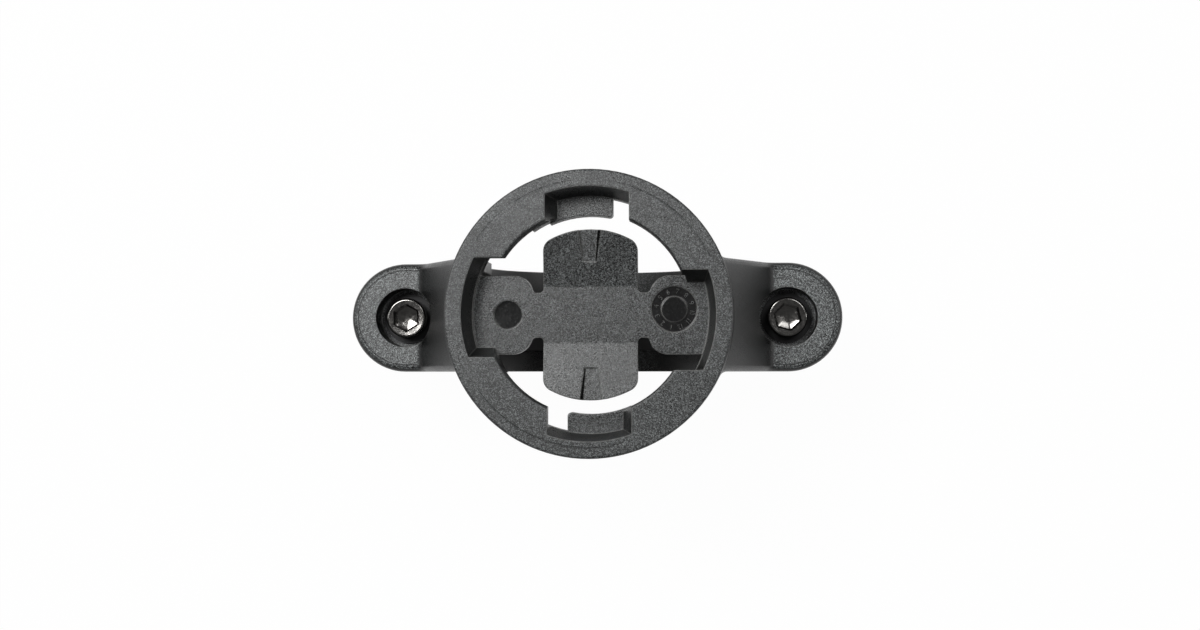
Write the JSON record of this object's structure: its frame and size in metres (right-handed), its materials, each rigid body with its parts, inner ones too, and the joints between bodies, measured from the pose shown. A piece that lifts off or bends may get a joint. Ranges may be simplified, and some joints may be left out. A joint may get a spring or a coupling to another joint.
{
  "type": "bicycle light handlebar mount",
  "caption": "Round quarter-turn socket for a bicycle light on a screwed clamp that goes round a handlebar, with rubber grips inside.",
  "frame": {"origin": "on the handlebar axis, under the middle of the socket ring", "axes": "+X from ear to ear, +Y along the handlebar, +Z from the handlebar axis up through the open face of the socket"},
  "size_m": [0.068, 0.0378, 0.0444],
  "materials": {
    "body_plastic": "fine spark-eroded satin, near black",
    "grip_rubber": "matt black",
    "fastener_steel": "dark zinc, slightly shiny"
  },
  "bodies": {
    "root": {"socket_body": "body_plastic", "lower_clamp": "body_plastic", "lower_liner": "grip_rubber", "left_pad": "grip_rubber", "right_pad": "grip_rubber", "left_screw": "fastener_steel", "right_screw": "fastener_steel", "left_washer": "fastener_steel", "right_washer": "fastener_steel", "left_nut": "fastener_steel", "right_nut": "fastener_steel"}
  },
  "joints": []
}
